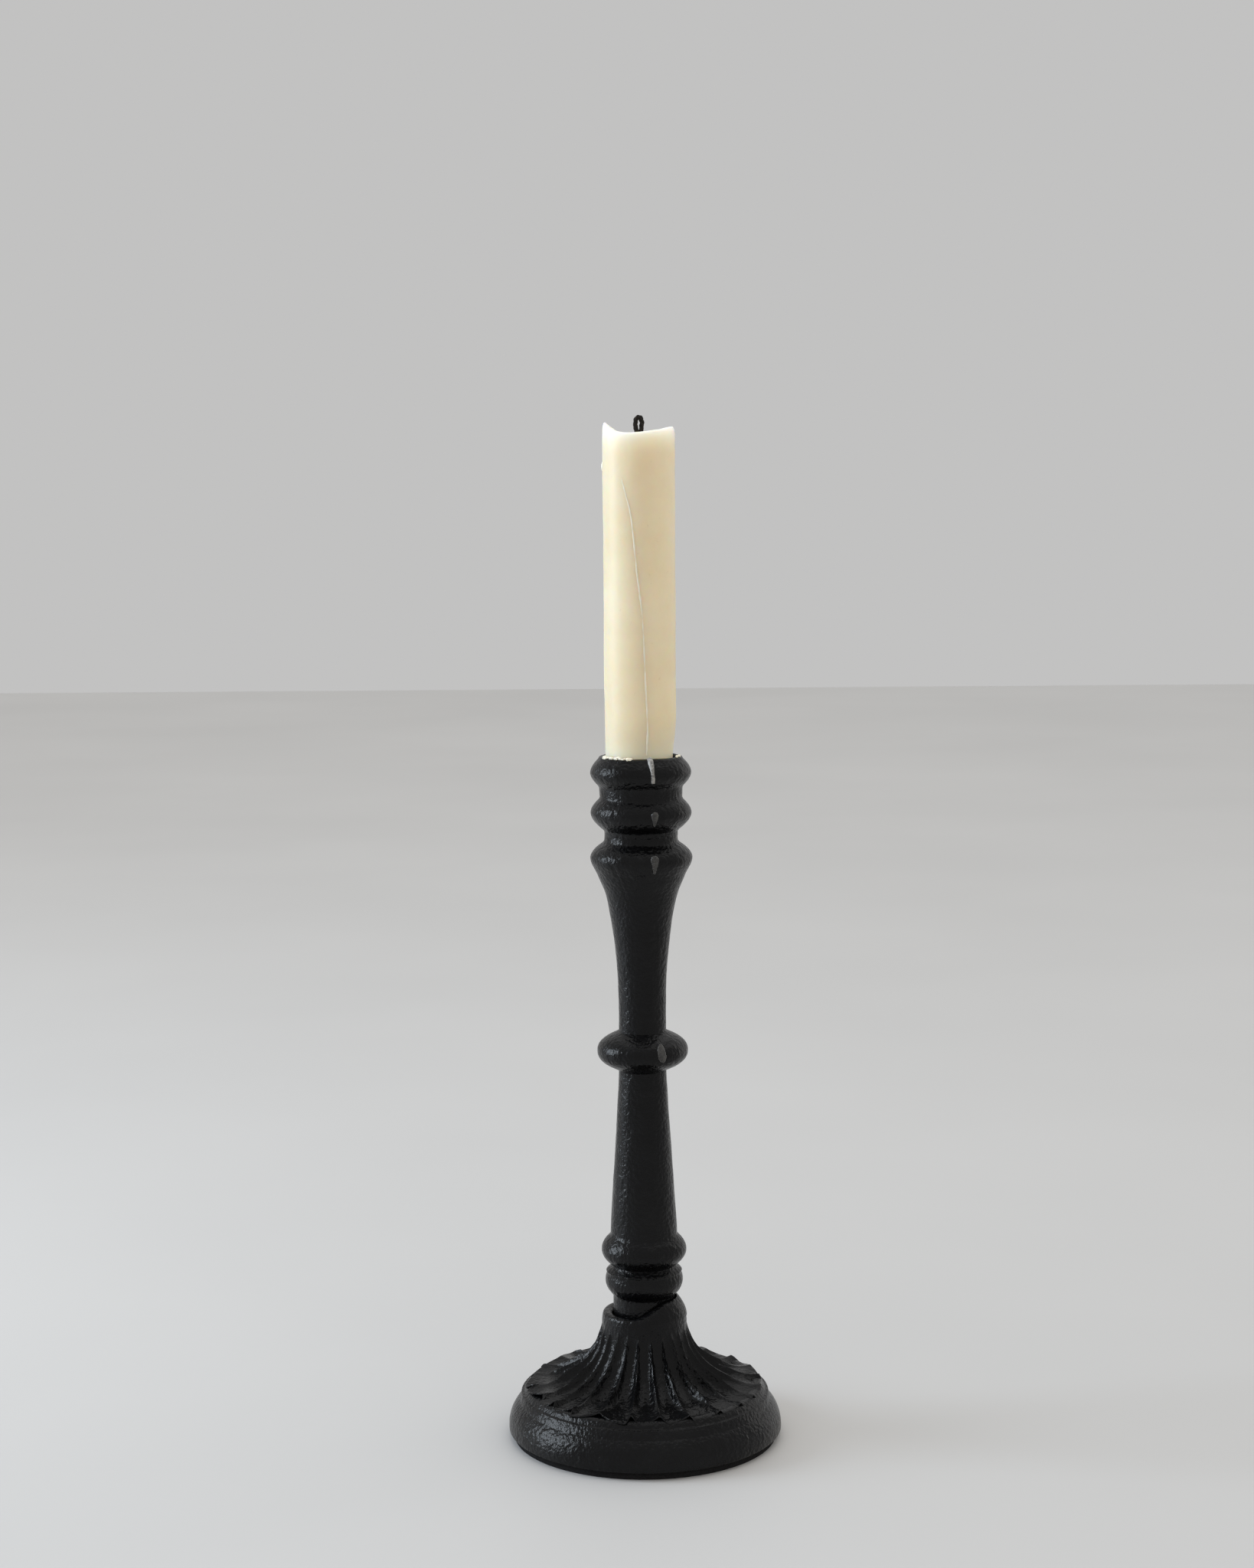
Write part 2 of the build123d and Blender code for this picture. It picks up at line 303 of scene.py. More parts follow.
def creamWax():
    # slightly translucent dinner-candle wax, whiter where it has melted and greyer towards its lower end,
    # just above the holder's rim
    finish = Finish(
        "creamWax", Subsurface_Weight=0.75, Subsurface_Scale=0.01, Subsurface_Radius=(1.0, 0.62, 0.3),
        Specular_IOR_Level=0.45, IOR=1.44)
    cloud = finish.noise(60, 4.0, 0.6)
    speck = finish.noise(900, 2.0, 0.5)
    base = finish.ramp(cloud, [(0.3, (0.80, 0.71, 0.49)), (0.7, (0.85, 0.78, 0.58))])
    specks = finish.ramp(speck, [(0.68, (0, 0, 0)), (0.78, (0.3, 0.3, 0.3))])
    height = finish.node("ShaderNodeSeparateXYZ", {}, {0: finish.place}, "Z")
    melted = finish.node("ShaderNodeMapRange", {"interpolation_type": "SMOOTHSTEP"}, {
        "Value": height, "From Min": 306 * mm, "From Max": 316 * mm})
    # the wax turns greyer towards its lower end, from 229 mm down to 214 mm, just above the holder's rim
    lowEndGrey = finish.node("ShaderNodeMapRange", {"interpolation_type": "SMOOTHSTEP"}, {
        "Value": height, "From Min": 229 * mm, "From Max": 214 * mm})
    base = finish.blend(melted * 0.9, base, (0.93, 0.92, 0.87, 1))
    base = finish.blend(lowEndGrey * (0.35 + cloud * 0.5), base, (0.72, 0.70, 0.56, 1))
    finish.feed("Base Color", finish.blend(specks * 0.5, base, (0.5, 0.4, 0.25, 1)))
    finish.feed("Roughness", 0.36 + cloud * 0.14)
    finish.bump(cloud * 1.0 + speck * 0.06, 0.35, 0.6)
    return finish.material


def paleWax():
    # the thin, whiter wax of the run, the side bead and the crumbs
    finish = Finish(
        "paleWax", Subsurface_Weight=0.15, Subsurface_Scale=0.002, Subsurface_Radius=(1.0, 0.8, 0.6),
        IOR=1.44)
    cloud = finish.noise(500, 4.0)
    finish.feed("Base Color", finish.ramp(cloud, [(0.3, (0.86, 0.81, 0.64)), (0.7, (0.93, 0.90, 0.76))]))
    finish.feed("Roughness", 0.22 + cloud * 0.2)
    finish.bump(cloud, 0.15)
    return finish.material


def clearWax():
    # thin dull drops on the iron, clear enough for the black to show through
    finish = Finish("clearWax", Transmission_Weight=0.7, IOR=1.43)
    cloud = finish.noise(700, 4.0)
    finish.feed("Base Color", finish.ramp(cloud, [(0.3, (0.06, 0.06, 0.06)), (0.7, (0.20, 0.20, 0.195))]))
    finish.feed("Roughness", 0.08 + cloud * 0.15)
    finish.bump(cloud, 0.1)
    return finish.material


def hazyWax():
    # the drip on the rim, half clear
    finish = Finish("hazyWax", Transmission_Weight=0.4, IOR=1.43)
    cloud = finish.noise(900, 3.0)
    finish.feed("Base Color", finish.ramp(cloud, [(0.35, (0.26, 0.26, 0.26)), (0.65, (0.62, 0.62, 0.60))]))
    finish.feed("Roughness", 0.18 + cloud * 0.2)
    finish.bump(cloud, 0.2)
    return finish.material


def charredCotton():
    # black burnt cotton, scorched brown where it leaves the wax
    finish = Finish("charredCotton", Roughness=0.9, Specular_IOR_Level=0.2)
    fibre = finish.noise(2200, 4.0, 0.7)
    height = finish.node("ShaderNodeSeparateXYZ", {}, {0: finish.place}, "Z")
    char = finish.ramp(fibre, [(0.3, (0.004, 0.004, 0.004)), (0.75, (0.035, 0.03, 0.027))])
    scorched = finish.ramp(fibre, [(0.3, (0.10, 0.045, 0.015)), (0.75, (0.30, 0.17, 0.07))])
    scorchStart = frame["record"]["size"]["bbox_m"][2] - 5.9 * mm
    scorchEnd = scorchStart + 1.1 * mm
    nearWax = finish.node("ShaderNodeMapRange", {}, {
        "Value": height, "From Min": scorchStart, "From Max": scorchEnd, "To Min": 1.0, "To Max": 0.0})
    finish.feed("Base Color", finish.blend(nearWax, char, scorched))
    finish.bump(fibre, 0.25)
    return finish.material


iron = paintedIron()
felt = feltFinish()
zinc = zincFinish()
cream = creamWax()
pale = paleWax()
clear = clearWax()
hazy = hazyWax()
charred = charredCotton()


def finishPiece(piece, material, body, slot, *nodes):
    piece.data.materials.clear()
    piece.data.materials.append(material)
    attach(piece, body)
    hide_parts(*nodes)
    print("made", piece.name)


cameraSetup = {
    "distance": 831, "height": 301, "aside": -4.25, "pitch": 6.5, "roll": 0.42, "lens": 62.4, "sensor": 36,
}


def addCamera():
    clearSelection()
    place = Vector((cameraSetup["aside"], -cameraSetup["distance"], cameraSetup["height"])) * mm
    bpy.ops.object.camera_add(location=place)
    camera = bpy.context.active_object
    tilt = Matrix.Rotation(radians(90 - cameraSetup["pitch"]), 4, "X")
    roll = Matrix.Rotation(radians(-cameraSetup["roll"]), 4, "Z")
    camera.rotation_euler = (tilt @ roll).to_euler()
    camera.data.lens = cameraSetup["lens"]
    camera.data.sensor_width = cameraSetup["sensor"]
    bpy.context.scene.camera = camera
    print("camera is set")


addCamera()


stemShape = {
    "rimTop": 215.1, "rimRadius": 12.0, "rimRounding": 0.3, "socket": 11.3, "socketFloor": 190.0,
    "socketRows": 13, "socketRow": 2, "spigot": 9.5, "bottom": 33.0, "row": 0.62, "steps": 150,
    "fillet": 0.7, "uneven": (0.28, 9),
    # the plain core under the rings: height, radius
    "core": [(218, 12.7), (203, 12.75), (196, 11.7), (189.6, 11.3), (186, 12.2), (181, 14.2), (178.2, 13.5),
             (173, 11.35), (167.2, 10.0), (158.6, 8.7), (148, 7.68), (139, 7.35), (130, 7.35), (116, 7.4),
             (92, 8.8), (67, 10.35), (62, 10.3), (55, 9.6), (45, 9.7), (33, 9.5)],
    # height, crest radius, depth, half height above, half height below, fullness
    "rings": [(210.1, 15.6, 3.6, 5.0, 5.0, 1.8), (197.6, 15.6, 3.6, 5.0, 5.0, 1.8),
              (183.7, 15.8, 3.6, 4.3, 6.0, 1.8), (123.1, 14.1, 6.7, 6.0, 6.0, 2.4),
              (59.7, 13.25, 3.2, 5.0, 4.7, 2.1), (50.0, 12.2, 2.4, 4.7, 4.6, 2.1),
              (53.1, 11.9, 0.6, 0.5, 0.5, 2.0)],
}


def stemRadius(height):
    # the core's radius, or a ring's where that stands further out
    ringEnd = 1.6  # where a ring is safely inside the core, in half heights from its crest
    radius = through(stemShape["core"], height)
    for crest, reach, depth, above, below, fullness in stemShape["rings"]:
        half = above if height > crest else below
        away = abs(height - crest) / half
        if away < ringEnd:
            radius = filletMax(radius, reach - depth * away**fullness, stemShape["fillet"])
    return radius


def makeStem():
    shape = stemShape
    section = [(0, shape["socketFloor"]), (shape["socket"] - 0.5, shape["socketFloor"])]
    section += [(shape["socket"], shape["socketFloor"] + 0.6 + shape["socketRow"] * step)
                for step in range(shape["socketRows"])]
    section.append((shape["socket"] + 0.15, shape["rimTop"] - 0.12))
    section.append((shape["rimRadius"] - 0.2, shape["rimTop"]))
    rows = int((shape["rimTop"] - shape["rimRounding"] - shape["bottom"]) / shape["row"])
    for row in range(rows + 1):
        height = shape["rimTop"] - shape["rimRounding"] - row * shape["row"]
        section.append((stemRadius(height), height))
    section += [(shape["spigot"] - 0.4, shape["bottom"]), (0, shape["bottom"])]
    stem = spinSection("stemCasting", section, shape["steps"])
    unevenCasting(stem, *shape["uneven"])
    smoothFaces(stem)
    finishPiece(stem, iron, "holder", "cast_iron_black", "stem")


makeStem()


footShape = {
    "steps": 384, "lobes": 24, "flareCentre": (33.3, 37.2), "flareRadius": 20.0, "flareRows": 56,
    "skirtEdge": 36.5, "skirtInside": 9.5, "skirtBottom": 15.9,
    "ridge": 1.6, "channel": 1.1, "sharpness": 5.5, "swirl": 3.4, "jitter": 2.0,
    # where ridges begin, gain height and fade, and where lobes lift, as shares of the way down the skirt
    "ridgeStart": (0.02, 0.2), "ridgeGain": (0.15, 0.75), "ridgeFade": (0.7, 0.98), "liftFrom": (0.6, 1),
    # the lobes' tips: how far they reach, how deep the gaps are and how far the tips hang
    "tip": 0.9, "notch": 1.8, "drape": 1.1, "tipsFrom": 28,
    # the azimuths between which casting has filled the gaps, and how far it sinks the lobes there
    "cloggedFrom": (0, 32), "cloggedTo": (120, 150), "cloggedSink": 0.6,
    # the paint that fills the joint with the stem on the right
    "neckFillet": 5.0, "neckWidth": 2.9, "mouth": 13.15, "neckBottom": 36, "filledFrom": (-0.35, 0.5),
    "filledOut": 0.3,
    "uneven": (0.22, 8),
    # radius and height of the seat and the collar, from the middle outwards
    "collar": [(0, 33), (9.8, 33), (9.8, 38.1), (10.0, 39.0), (10.5, 39.6), (11.3, 39.9), (12.2, 39.9),
               (12.6, 39.7), (12.95, 39.3), (13.1, 38.6), (13.2, 37.9)],
    # under the lobes' edge, over the shoulder and through the crease
    "shoulder": [(36.72, 17.25), (36.66, 16.95), (36.4, 16.75), (34.0, 16.1), (35.2, 16.35), (36.2, 16.3),
                 (36.9, 15.9), (37.5, 15.2), (37.9, 14.6), (38.15, 14.3), (38.35, 14.2), (38.6, 14.25),
                 (38.9, 14.1)],
    "rimCentre": (32.4, 3.7), "rimRadius": 10.52, "rimAngles": (50.5, -6), "rimRows": 26,
    # the rim's underside and the hollow inside
    "hollow": [(42.75, 2.5), (38.5, 2.5), (37.9, 6.0), (36.0, 9.8), (33.0, 11.6), (24.0, 14.4),
               (18.0, 17.0), (12.5, 22.0), (9.4, 28.0), (0, 28.0)],
}


def lobeTable():
    # each lobe's middle, tip skew, reach, swirl and lift, drawn once
    lobes = []
    for index in range(footShape["lobes"]):
        lobes.append({
            "middle": index * 360 / footShape["lobes"] + random.uniform(-1, 1) * footShape["jitter"],
            "skew": random.choice((-1, 1)) * random.uniform(0.3, 0.8),
            "reach": random.uniform(0.75, 1.2),
            "swirl": random.uniform(-1, 1) * footShape["swirl"],
            "lift": random.uniform(-0.4, 1.2),
        })
    return lobes


lobes = lobeTable()


def gapTo(there, here):
    # degrees from here to there, the short way round
    return (there - here + 180) % 360 - 180


def lobeMiddle(lobe, along):
    # a lobe drifts sideways down the skirt
    return lobe["middle"] + lobe["swirl"] * (along - 0.3)


def lobeAt(azimuth, along):
    # which lobe, and how far across it from -1 to 1, at this azimuth and distance down the skirt
    best = None
    count = len(lobes)
    guess = int(azimuth // (360 / count))
    for offset in (-1, 0, 1, 2):
        lobe = lobes[(guess + offset) % count]
        nextLobe = lobes[(guess + offset + 1) % count]
        lastLobe = lobes[(guess + offset - 1) % count]
        middle = lobeMiddle(lobe, along)
        away = gapTo(azimuth, middle)
        right = gapTo(lobeMiddle(nextLobe, along), middle) / 2
        left = gapTo(middle, lobeMiddle(lastLobe, along)) / 2
        across = away / right if away >= 0 else away / left
        if best is None or abs(across) < abs(best[1]):
            best = (lobe, across)
    return best[0], min(max(best[1], -1), 1)


def shapeSkirt(foot):
    # presses the lobes into the turned skirt, and fills the joint round the stem on the right
    shape = footShape
    centreR, centreZ = shape["flareCentre"]
    for vertex in foot.data.vertices:
        x, y, z = (value / mm for value in vertex.co)
        radius = sqrt(x * x + y * y)
        if radius < shape["skirtInside"] or z < shape["skirtBottom"]:
            continue
        azimuth = azimuthOf(x, y) % 360
        fromCentre = sqrt((radius - centreR) ** 2 + (z - centreZ) ** 2)
        onFlare = abs(fromCentre - shape["flareRadius"]) < 0.06 and z < centreZ
        onEdge = radius > shape["skirtEdge"] - 0.2 and radius < shape["skirtEdge"] + 0.3
        if onFlare or onEdge:
            along = min(degrees(atan2(centreZ - z, centreR - radius)) / 90, 1.05)
            lobe, across = lobeAt(azimuth, along)
            rise = softStep(*shape["ridgeStart"], along)
            rise *= 0.45 + 0.75 * softStep(*shape["ridgeGain"], along)
            rise *= 1 - 0.75 * softStep(*shape["ridgeFade"], along)
            height = shape["ridge"] * abs(across) ** shape["sharpness"] - shape["channel"] * (1 - across**2)
            height *= rise
            height += lobe["lift"] * (1 - across**2) * softStep(*shape["liftFrom"], along)
            radius += (radius - centreR) / fromCentre * -height if onFlare else 0
            z += (centreZ - z) / fromCentre * height if onFlare else height
            half = 1 - lobe["skew"] if across > lobe["skew"] else 1 + lobe["skew"]
            pointed = 1 - abs((across - lobe["skew"]) / half) ** 1.5
            edge = softStep(shape["tipsFrom"], shape["skirtEdge"], radius)
            clogged = softStep(*shape["cloggedFrom"], azimuth)
            clogged *= 1 - softStep(*shape["cloggedTo"], azimuth)
            cut = shape["notch"] * (1 - clogged)
            radius += edge * ((shape["tip"] * (1 - 0.5 * clogged) + cut) * lobe["reach"] * pointed - cut)
            z -= shape["cloggedSink"] * clogged * edge
            z -= shape["drape"] * edge * max(pointed, 0) ** 2
        elif z > shape["neckBottom"] and radius < shape["mouth"]:
            # the joint is filled on the right and open on the left
            filled = softStep(*shape["filledFrom"], x / shape["mouth"])
            z += shape["neckFillet"] * (shape["mouth"] - radius) / shape["neckWidth"] * filled
            radius += shape["filledOut"] * filled
        scale = radius / sqrt(x * x + y * y)
        vertex.co = (x * scale * mm, y * scale * mm, z * mm)


def makeFoot():
    shape = footShape
    flare = arcPoints(shape["flareCentre"], shape["flareRadius"], 180, 279.2, shape["flareRows"])
    rim = arcPoints(shape["rimCentre"], shape["rimRadius"], *shape["rimAngles"], shape["rimRows"])
    section = shape["collar"] + flare + shape["shoulder"] + rim[1:] + shape["hollow"]
    foot = spinSection("footCasting", section, shape["steps"])
    shapeSkirt(foot)
    unevenCasting(foot, *shape["uneven"])
    smoothFaces(foot, 60)
    finishPiece(foot, iron, "holder", "cast_iron_black", "foot")


makeFoot()


candleShape = {
    "radius": 11.0, "buttRadius": 10.3, "buttShift": -0.5, "taperTop": 228.0, "taperBottom": 213.0,
    "shoulder": 306.0, "rim": 314.0, "frontRim": 313.4, "leftPeak": 3.2, "rightPeak": 2.0,
    "sideBottom": 192, "sideTop": 311, "rows": 44, "steps": 128, "uneven": (0.3, 16),
    # radius and height of the lower end, then of the melted edge and the hollow up to the wick
    "butt": [(0, 190), (10.2, 190), (10.8, 190.5), (11.0, 191.4)],
    "pool": [(10.98, 312.2), (10.86, 313.2), (10.62, 313.8), (10.25, 314.0), (9.85, 313.85), (9.5, 313.4),
             (9.0, 312.8), (8.1, 312.2), (6.8, 311.8), (5.2, 311.6), (3.6, 311.5), (2.4, 311.55),
             (1.6, 311.8), (1.1, 312.3), (0.8, 312.7), (0, 312.9)],
}


def candleAt(height):
    # how far the candle's middle stands to the right at this height, and its radius
    shape = candleShape
    share = 1 - softStep(shape["taperBottom"], shape["taperTop"], height)
    return shape["buttShift"] * share, shape["radius"] + (shape["buttRadius"] - shape["radius"]) * share


def onCandle(azimuth, height, sink):
    # a point this far under the candle's skin
    shift, radius = candleAt(height)
    return front(radius - sink, azimuth, height) + Vector((shift * mm, 0, 0))


def shapeCandle(candle):
    # narrows the gripped lower end, and raises the melted edge to a peak at each side
    shape = candleShape
    for vertex in candle.data.vertices:
        x, y, z = (value / mm for value in vertex.co)
        shift, radius = candleAt(z)
        x, y = x * radius / shape["radius"] + shift, y * radius / shape["radius"]
        if z > shape["shoulder"]:
            azimuth = radians(azimuthOf(x, y))
            rim = shape["frontRim"] + shape["leftPeak"] * max(-sin(azimuth), 0) ** 3
            rim += shape["rightPeak"] * max(sin(azimuth), 0) ** 1.5 + 0.25 * sin(3 * azimuth + 1)
            outer = softStep(6.5, 9.5, sqrt(x * x + y * y))
            z += (rim - shape["rim"]) * outer * (z - shape["shoulder"]) / (shape["rim"] - shape["shoulder"])
        vertex.co = (x * mm, y * mm, z * mm)


def makeCandle():
    shape = candleShape
    bottom, top, rows = shape["sideBottom"], shape["sideTop"], shape["rows"]
    side = [(shape["radius"], bottom + row * (top - bottom) / rows) for row in range(rows + 1)]
    candle = spinSection("dinnerCandle", shape["butt"] + side + shape["pool"], shape["steps"])
    shapeCandle(candle)
    unevenCasting(candle, *shape["uneven"])
    smoothFaces(candle)
    finishPiece(candle, cream, "candle", "candle_wax", "candle_body")


makeCandle()


wickShape = {
    # the curl of the wick: right, back, height
    "path": [(0.4, 0, 309.5), (0.4, 0, 311.5), (0.65, 0, 313.2), (0.95, 0.1, 315.0), (1.05, 0.1, 316.7),
             (0.75, 0.0, 317.95), (0.05, -0.1, 318.2), (-0.7, 0.0, 317.7), (-0.95, 0.0, 316.4),
             (-0.85, -0.1, 315.2), (-0.6, -0.2, 314.2), (-0.35, -0.3, 313.2)],
    "strands": 3, "strandSize": 0.42, "twistRadius": 0.34, "turnsPerPoint": 0.3, "samples": 5,
    "uneven": (0.16, 0.5),
}


def makeWick():
    # three strands twisted round one path, joined into one wick
    shape = wickShape
    samples = shape["samples"]
    path = [Vector(point) for point in shape["path"]]
    back = Vector((0, 1, 0))
    strands = []
    for strand in range(shape["strands"]):
        points, sizes = [], []
        for index in range((len(path) - 1) * samples + 1):
            step = min(index // samples, len(path) - 2)
            here = path[step].lerp(path[step + 1], index / samples - step)
            along = (path[step + 1] - path[step]).normalized()
            side = along.cross(back).normalized()
            angle = 2 * pi * (index / samples * shape["turnsPerPoint"] + strand / shape["strands"])
            offset = side * cos(angle) + back * sin(angle)
            points.append((here + offset * shape["twistRadius"]) * mm)
            sizes.append(random.uniform(0.85, 1.15))
        strands.append(tubeThrough("wickStrand", points, sizes, shape["strandSize"], 2))
    wick = joinPieces("charredWick", strands)
    unevenCasting(wick, *shape["uneven"])
    smoothFaces(wick, 60)
    finishPiece(wick, charred, "candle", "charred_wick", "wick")


makeWick()


waxRunShape = {
    # azimuth, height, thickness
    "route": [(-30, 301.5, 0.5), (-26, 298.0, 0.9), (-19, 293.5, 0.8), (-13, 288.8, 0.85), (-8, 280, 0.7),
              (-5, 272.6, 0.8), (0, 265, 0.75), (4, 258.6, 0.9), (6.5, 248, 0.75), (8, 239, 0.85),
              (10, 231, 0.8), (12, 224, 0.9), (12.5, 218, 0.95), (12.6, 216.2, 0.7)],
    "thickness": 0.4, "sink": 0.22, "uneven": (0.3, 2.2),
}


def makeWaxRun():
    shape = waxRunShape
    points = [onCandle(azimuth, height, shape["sink"]) for azimuth, height, size in shape["route"]]
    sizes = [size for azimuth, height, size in shape["route"]]
    run = tubeThrough("waxRun", points, sizes, shape["thickness"], 8)
    unevenCasting(run, *shape["uneven"])
    smoothFaces(run, 60)
    finishPiece(run, pale, "candle", "candle_wax", "wax_run")


makeWaxRun()


dropShape = {
    "uneven": (0.3, 1.8),
    # azimuth, height and depth under the skin at the top and the bottom, the two sizes, the thinness
    "sideBead": {
        "azimuth": -88, "top": (305.0, 0.2), "bottom": (302.8, 0.1), "sizes": (0.45, 0.85), "thin": 0.75},
    # azimuth, radius and height at the top and the bottom, the two sizes, the thinness
    "ringDropMiddle": {
        "azimuth": 15.5, "top": (15.5, 198.0), "bottom": (15.05, 195.4), "sizes": (1.5, 0.6), "thin": 0.5},
    "ringDropLower": {
        "azimuth": 15, "top": (15.5, 184.4), "bottom": (15.4, 181.0), "sizes": (1.7, 0.7), "thin": 0.5},
    "knopDrop": {
        "azimuth": 25, "top": (13.1, 126.0), "bottom": (13.95, 123.2), "sizes": (1.3, 1.6), "thin": 0.45},
}


def makeDrop(name, top, bottom, material, body, slot, node):
    # a ball drawn out into a hanging drop between two points, flattened against the surface behind it
    topSize, bottomSize = dropShape[name]["sizes"]
    thin = dropShape[name]["thin"]
    clearSelection()
    axis = top - bottom
    bpy.ops.mesh.primitive_uv_sphere_add(segments=28, ring_count=18, radius=1)
    drop = nameActive(name)
    for vertex in drop.data.vertices:
        share = (vertex.co.z + 1) / 2
        width = bottomSize + (topSize - bottomSize) * softStep(0.15, 0.95, share)
        lift = share * (axis.length + (topSize + bottomSize) * mm) - bottomSize * mm
        vertex.co = (vertex.co.x * width * mm, vertex.co.y * width * thin * mm, lift)
    facing = Vector((bottom.x, bottom.y, 0)).normalized()
    across = facing.cross(axis.normalized()).normalized()
    outward = axis.normalized().cross(across)
    turn = Matrix((across, outward, axis.normalized())).transposed().to_4x4()
    drop.matrix_world = Matrix.Translation(bottom) @ turn
    applyPlace(drop)
    activate(drop)
    bpy.ops.object.mode_set(mode="EDIT")
    bpy.ops.mesh.select_all(action="SELECT")
    bpy.ops.mesh.normals_make_consistent(inside=False)
    bpy.ops.object.mode_set(mode="OBJECT")
    unevenCasting(drop, *dropShape["uneven"])
    smoothFaces(drop, 60)
    finishPiece(drop, material, body, slot, node)


def makeSideBead():
    shape = dropShape["sideBead"]
    top, bottom = onCandle(shape["azimuth"], *shape["top"]), onCandle(shape["azimuth"], *shape["bottom"])
    makeDrop("sideBead", top, bottom, pale, "candle", "candle_wax", "side_bead")


def makeIronDrop(name, node):
    shape = dropShape[name]
    (topRadius, topHeight), (bottomRadius, bottomHeight) = shape["top"], shape["bottom"]
    top = front(topRadius, shape["azimuth"], topHeight)
    bottom = front(bottomRadius, shape["azimuth"], bottomHeight)
    makeDrop(name, top, bottom, clear, "holder", "spilt_wax", node)


makeSideBead()
makeIronDrop("ringDropMiddle", "ring_drop_middle")
makeIronDrop("ringDropLower", "ring_drop_lower")
makeIronDrop("knopDrop", "knop_drop")


rimDripShape = {
    # radius, height, thickness
    "route": [(12.2, 215.1, 0.9), (12.8, 214.7, 1.15), (13.8, 213.4, 1.0), (14.8, 212.0, 0.8),
              (15.35, 210.4, 0.7), (15.3, 209.0, 0.75), (15.0, 208.2, 0.7)],
    "azimuth": 12.5, "drift": 0.25, "thickness": 0.85, "uneven": (0.12, 1.5),
}


def makeRimDrip():
    shape = rimDripShape
    points, sizes = [], []
    for index, (radius, height, size) in enumerate(shape["route"]):
        points.append(front(radius, shape["azimuth"] + index * shape["drift"], height))
        sizes.append(size)
    drip = tubeThrough("rimDrip", points, sizes, shape["thickness"], 8)
    unevenCasting(drip, *shape["uneven"])
    smoothFaces(drip, 60)
    finishPiece(drip, hazy, "holder", "spilt_wax", "rim_drip")


makeRimDrip()


crumbShape = {
    "radii": (11.9, 12.5), "rimTop": 215.0, "riseUpTo": 0.25, "uneven": (0.5, 0.7),
    # azimuths of the first and the last crumb, their number and their size
    "rimCrumbsLeft": (-68, -14, 20, 0.66), "rimCrumbsRight": (62, 84, 5, 0.45),
}


def makeCrumbs(name, node):
    # small uneven crumbs of wax along the rim, joined into one piece
    shape = crumbShape
    first, last, count, size = shape[name]
    crumbs = []
    for index in range(count):
        clearSelection()
        azimuth = first + (last - first) * (index + random.uniform(0.2, 0.8)) / count
        reach = random.uniform(*shape["radii"])
        place = front(reach, azimuth, shape["rimTop"] + random.uniform(0, shape["riseUpTo"]))
        radius = size * random.uniform(0.6, 1.15) * mm
        bpy.ops.mesh.primitive_ico_sphere_add(subdivisions=3, radius=radius, location=place)
        crumb = bpy.context.active_object
        crumb.scale = (random.uniform(0.9, 1.5), random.uniform(0.7, 1.0), random.uniform(0.6, 0.95))
        crumb.rotation_euler = (0, 0, radians(azimuth))
        applyPlace(crumb)
        crumbs.append(crumb)
    heap = joinPieces(name, crumbs)
    unevenCasting(heap, *shape["uneven"])
    smoothFaces(heap, 70)
    finishPiece(heap, pale, "holder", "spilt_wax", node)


makeCrumbs("rimCrumbsLeft", "rim_wax_left")
makeCrumbs("rimCrumbsRight", "rim_wax_right")


def refinish(node, material):
    # a finish for a piece that keeps its CAD shape
    piece = frame["nodes"][node]
    if not piece.material_slots:
        piece.data.materials.append(material)
    for place in piece.material_slots:
        place.material = material


refinish("felt_pad", felt)
for hidden in ("fixing_bolt", "plain_washer", "spring_washer"):
    refinish(hidden, zinc)
print("refinished the pad and the fixings")


lightSetup = {
    "room": (1.06, 1.02, 0.96), "wall": (1.0, 0.975, 0.93), "daylight": (0.50, 0.56, 0.65),
    "backdrop": (0.54, 0.538, 0.535), "tableLight": (0.22, 0.20, 0.18),
    # the name, place, target, size, power and colour of each lamp, in metres and watts
    "lamps": [
        ("windowLight", (-1.1, 0.0, 0.5), (0, 0, 0.17), (0.5, 0.75), 10.5, (0.82, 0.91, 1.0)),
        ("rightLift", (0.75, 0.5, 0.35), (0, 0, 0.15), (0.15, 0.6), 0.25, (1, 0.97, 0.93)),
        ("ceilingLight", (0.2, 0.6, 2.2), (0, 0.4, 0), (2.5, 2.5), 9, (1, 1, 1)),
    ],
}


def seenDirectly(tree):
    # 1 for what the camera sees, straight or in a reflection or through clear wax
    rays = tree.nodes.new("ShaderNodeLightPath")
    seen = rays.outputs["Is Camera Ray"]
    for kind in ("Is Glossy Ray", "Is Transmission Ray"):
        either = tree.nodes.new("ShaderNodeMath")
        either.operation = "MAXIMUM"
        tree.links.new(seen, either.inputs[0])
        tree.links.new(rays.outputs[kind], either.inputs[1])
        seen = either.outputs[0]
    return seen


def addFloor():
    clearSelection()
    bpy.ops.mesh.primitive_plane_add(size=6, location=(0, 0, 0))
    floor = nameActive("floor")
    finish = Finish("paleFloor", Roughness=0.6)
    cloud = finish.noise(3, 3.0)
    finish.feed("Base Color", finish.ramp(cloud, [
        (0.3, (0.47, 0.473, 0.477)), (0.7, (0.495, 0.498, 0.502))]))
    # the camera and reflections see a pale floor, and the object gets a dark table's dimmer light from it
    tree = finish.tree
    dim = tree.nodes.new("ShaderNodeBsdfDiffuse")
    dim.inputs["Color"].default_value = (*lightSetup["tableLight"], 1)
    mix = tree.nodes.new("ShaderNodeMixShader")
    tree.links.new(seenDirectly(tree), mix.inputs[0])
    tree.links.new(dim.outputs[0], mix.inputs[1])
    tree.links.new(finish.shader.outputs[0], mix.inputs[2])
    tree.links.new(mix.outputs[0], tree.nodes["Material Output"].inputs["Surface"])
    floor.data.materials.append(finish.material)


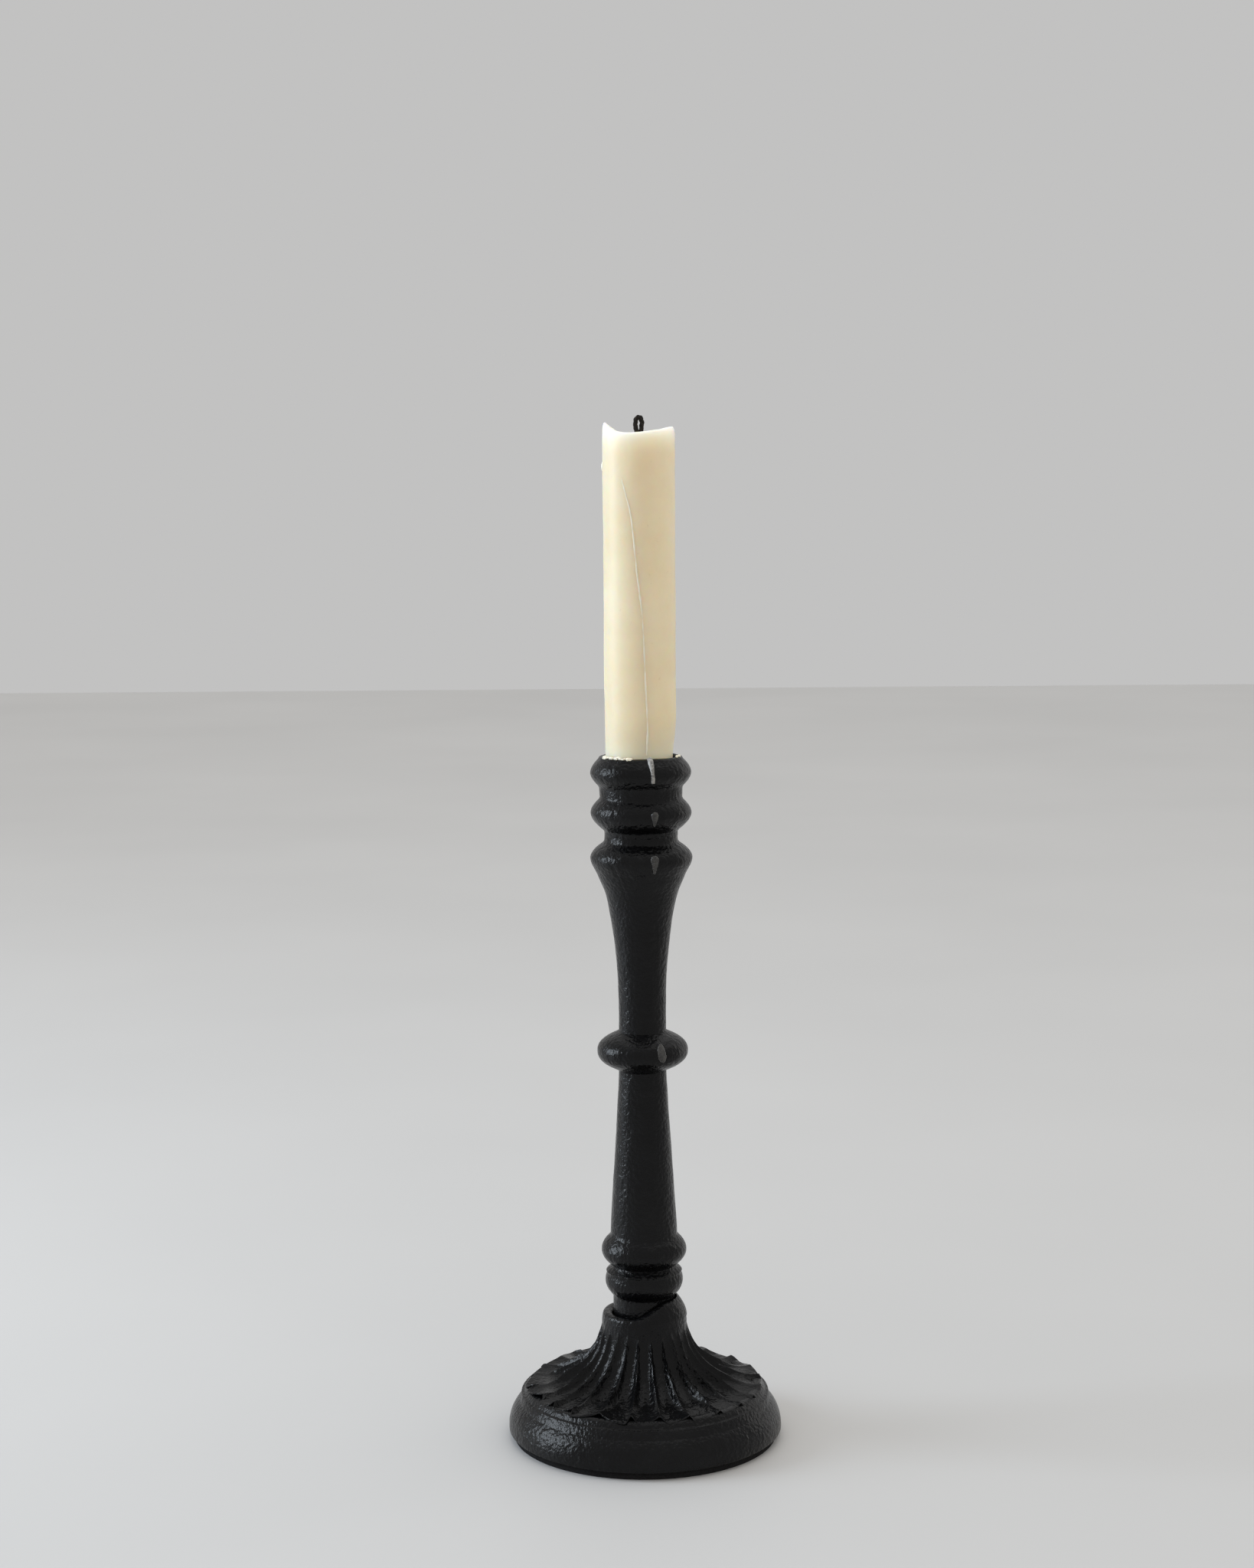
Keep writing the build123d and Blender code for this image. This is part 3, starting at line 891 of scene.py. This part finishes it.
def addLamp(name, location, target, size, power, colour):
    clearSelection()
    bpy.ops.object.light_add(type="AREA", location=location)
    lamp = bpy.context.active_object
    lamp.name = name
    lamp.data.shape = "RECTANGLE"
    lamp.data.size, lamp.data.size_y = size
    lamp.data.energy = power
    lamp.data.color = colour
    aim = Vector(target) - Vector(location)
    lamp.rotation_euler = aim.to_track_quat("-Z", "Y").to_euler()


def lightScene():
    world = bpy.data.worlds.new("paleRoom")
    bpy.context.scene.world = world
    world.use_nodes = True
    tree = world.node_tree
    background = tree.nodes["Background"]
    backdrop = tree.nodes.new("ShaderNodeBackground")
    backdrop.inputs["Color"].default_value = (*lightSetup["backdrop"], 1)
    # the room's light changes towards the wall behind and towards the window's side
    where = tree.nodes.new("ShaderNodeTexCoord")
    turned = tree.nodes.new("ShaderNodeSeparateXYZ")
    tree.links.new(where.outputs["Generated"], turned.inputs[0])
    room = tree.nodes.new("ShaderNodeRGB")
    room.outputs[0].default_value = (*lightSetup["room"], 1)
    shade = room.outputs[0]
    for side, low, high, name in (("Y", -0.1, 0.7, "wall"), ("X", -0.25, -0.9, "daylight")):
        share = tree.nodes.new("ShaderNodeMapRange")
        share.interpolation_type = "SMOOTHSTEP"
        share.inputs["From Min"].default_value = low
        share.inputs["From Max"].default_value = high
        tree.links.new(turned.outputs[side], share.inputs["Value"])
        blend = tree.nodes.new("ShaderNodeMix")
        blend.data_type = "RGBA"
        tree.links.new(share.outputs[0], blend.inputs[0])
        tree.links.new(shade, blend.inputs[6])
        blend.inputs[7].default_value = (*lightSetup[name], 1)
        shade = blend.outputs[2]
    tree.links.new(shade, background.inputs["Color"])
    mix = tree.nodes.new("ShaderNodeMixShader")
    tree.links.new(seenDirectly(tree), mix.inputs[0])
    tree.links.new(background.outputs[0], mix.inputs[1])
    tree.links.new(backdrop.outputs[0], mix.inputs[2])
    tree.links.new(mix.outputs[0], tree.nodes["World Output"].inputs["Surface"])
    for lamp in lightSetup["lamps"]:
        addLamp(*lamp)


addFloor()
lightScene()
bpy.context.scene.view_settings.view_transform = "Standard"
print("floor and lights are set")
